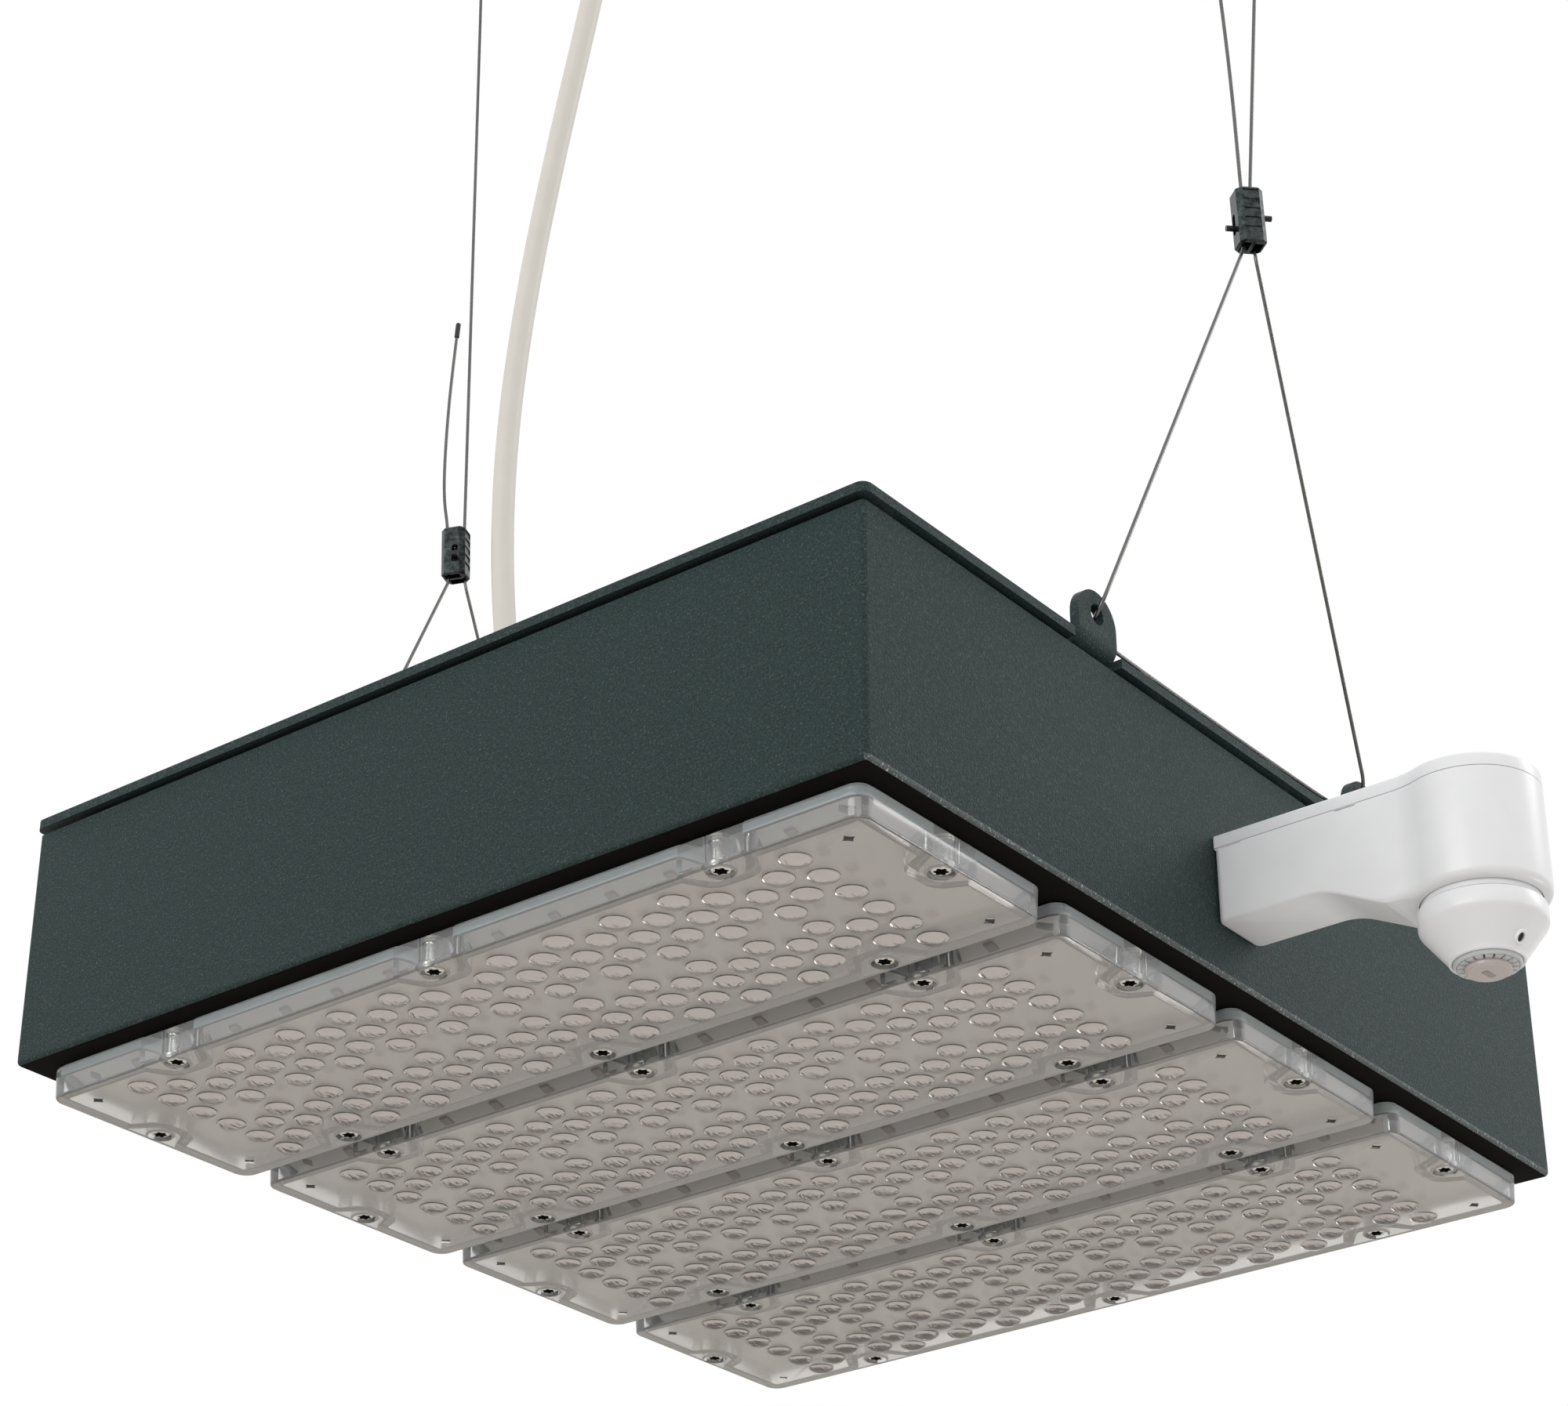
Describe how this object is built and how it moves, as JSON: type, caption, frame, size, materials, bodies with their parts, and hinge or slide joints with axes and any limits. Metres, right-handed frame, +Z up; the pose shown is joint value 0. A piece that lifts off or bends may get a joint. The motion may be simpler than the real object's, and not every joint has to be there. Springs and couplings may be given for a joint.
{
  "type": "suspended LED grow light with presence sensor",
  "caption": "Flat rectangular ceiling-hung grow light: lens-covered modules below, V-shaped wire suspension with grip adjusters, mains cable and a side arm with a round sensor",
  "frame": {"origin": "on the ceiling, midway between the two suspension anchors", "axes": "+Z up into the ceiling, +X from the cable side towards the sensor arm, -Y the plain long face"},
  "size_m": [0.4279, 0.3634, 0.5802],
  "materials": {
    "powder_coat": "satin",
    "zinc": "satin",
    "steel": "satin",
    "plated": "polished",
    "aluminium": "satin",
    "lens_pc": "clear, slightly frosted",
    "led": "matte",
    "white_plastic": "gloss",
    "white_pvc": "satin",
    "grey_rubber": "matte",
    "grey_plastic": "matte",
    "wire_rope": "satin",
    "black_plastic": "matte"
  },
  "bodies": {
    "ceiling": {"anchor_bases": "steel", "anchor_caps": "plated", "wire_balls": "steel", "outlet_base": "white_plastic", "outlet_cover": "white_plastic", "outlet_bush": "white_plastic"},
    "luminaire": {"housing_shell": "powder_coat", "lid_plate": "powder_coat", "lid_gasket": "grey_rubber", "lid_screws": "steel", "heat_spreader": "aluminium", "led_board_1": "aluminium", "led_board_2": "aluminium", "led_board_3": "aluminium", "led_board_4": "aluminium", "leds": "led", "lens_cover_1": "lens_pc", "lens_cover_2": "lens_pc", "lens_cover_3": "lens_pc", "lens_cover_4": "lens_pc", "cover_gaskets": "grey_rubber", "module_screws": "steel", "led_driver_front": "aluminium", "led_driver_rear": "aluminium", "driver_screws": "steel", "terminal_block": "grey_plastic", "internal_wires": "grey_rubber", "mains_cable": "white_pvc", "mains_cable_inner": "white_pvc", "gland_body": "grey_plastic", "gland_nut": "grey_plastic", "gland_locknut": "grey_plastic", "gland_seal": "grey_rubber", "sensor_arm_body": "white_plastic", "sensor_arm_cap": "white_plastic", "sensor_screws": "steel", "sensor_collar_ring": "white_plastic", "wire_tips": "black_plastic", "grip_body_left": "zinc", "wire_upper_left": "wire_rope", "wire_loop_left": "wire_rope", "wire_tail_left": "wire_rope", "release_spring_left_front": "steel", "release_spring_left_rear": "steel", "grip_body_right": "zinc", "wire_upper_right": "wire_rope", "wire_loop_right": "wire_rope", "wire_tail_right": "wire_rope", "release_spring_right_front": "steel", "release_spring_right_rear": "steel"},
    "sensor_head": {"sensor_head": "white_plastic", "sensor_lens": "white_plastic", "sensor_board": "grey_plastic"},
    "release_left_front": {"release_wedge_left_front": "steel"},
    "release_left_rear": {"release_wedge_left_rear": "steel"},
    "release_right_front": {"release_wedge_right_front": "steel"},
    "release_right_rear": {"release_wedge_right_rear": "steel"}
  },
  "joints": [
    {"name": "height_adjust", "type": "slide", "parent": "ceiling", "child": "luminaire", "axis": [0, 0, 1], "range_m": [0, 0.08], "deforming": ["wire_upper_left", "wire_upper_right", "mains_cable"]},
    {"name": "release_left_front", "type": "slide", "parent": "luminaire", "child": "release_left_front", "axis": [0.0052, -0.0523, 0.9986], "range_m": [0, 0.003], "stiffness_N_per_m": 200, "springref_m": -0.003, "deforming": ["release_spring_left_front"]},
    {"name": "release_left_rear", "type": "slide", "parent": "luminaire", "child": "release_left_rear", "axis": [0.0052, -0.0523, 0.9986], "range_m": [0, 0.003], "stiffness_N_per_m": 200, "springref_m": -0.003, "deforming": ["release_spring_left_rear"]},
    {"name": "release_right_front", "type": "slide", "parent": "luminaire", "child": "release_right_front", "axis": [0.0436, -0.1183, 0.992], "range_m": [0, 0.003], "stiffness_N_per_m": 200, "springref_m": -0.003, "deforming": ["release_spring_right_front"]},
    {"name": "release_right_rear", "type": "slide", "parent": "luminaire", "child": "release_right_rear", "axis": [0.0436, -0.1183, 0.992], "range_m": [0, 0.003], "stiffness_N_per_m": 200, "springref_m": -0.003, "deforming": ["release_spring_right_rear"]},
    {"name": "sensor_head_turn", "type": "hinge", "parent": "luminaire", "child": "sensor_head", "pos_m": [0.2113, 0.001, -0.561], "axis": [0, 0, 1], "range_deg": [-40, 40]}
  ]
}
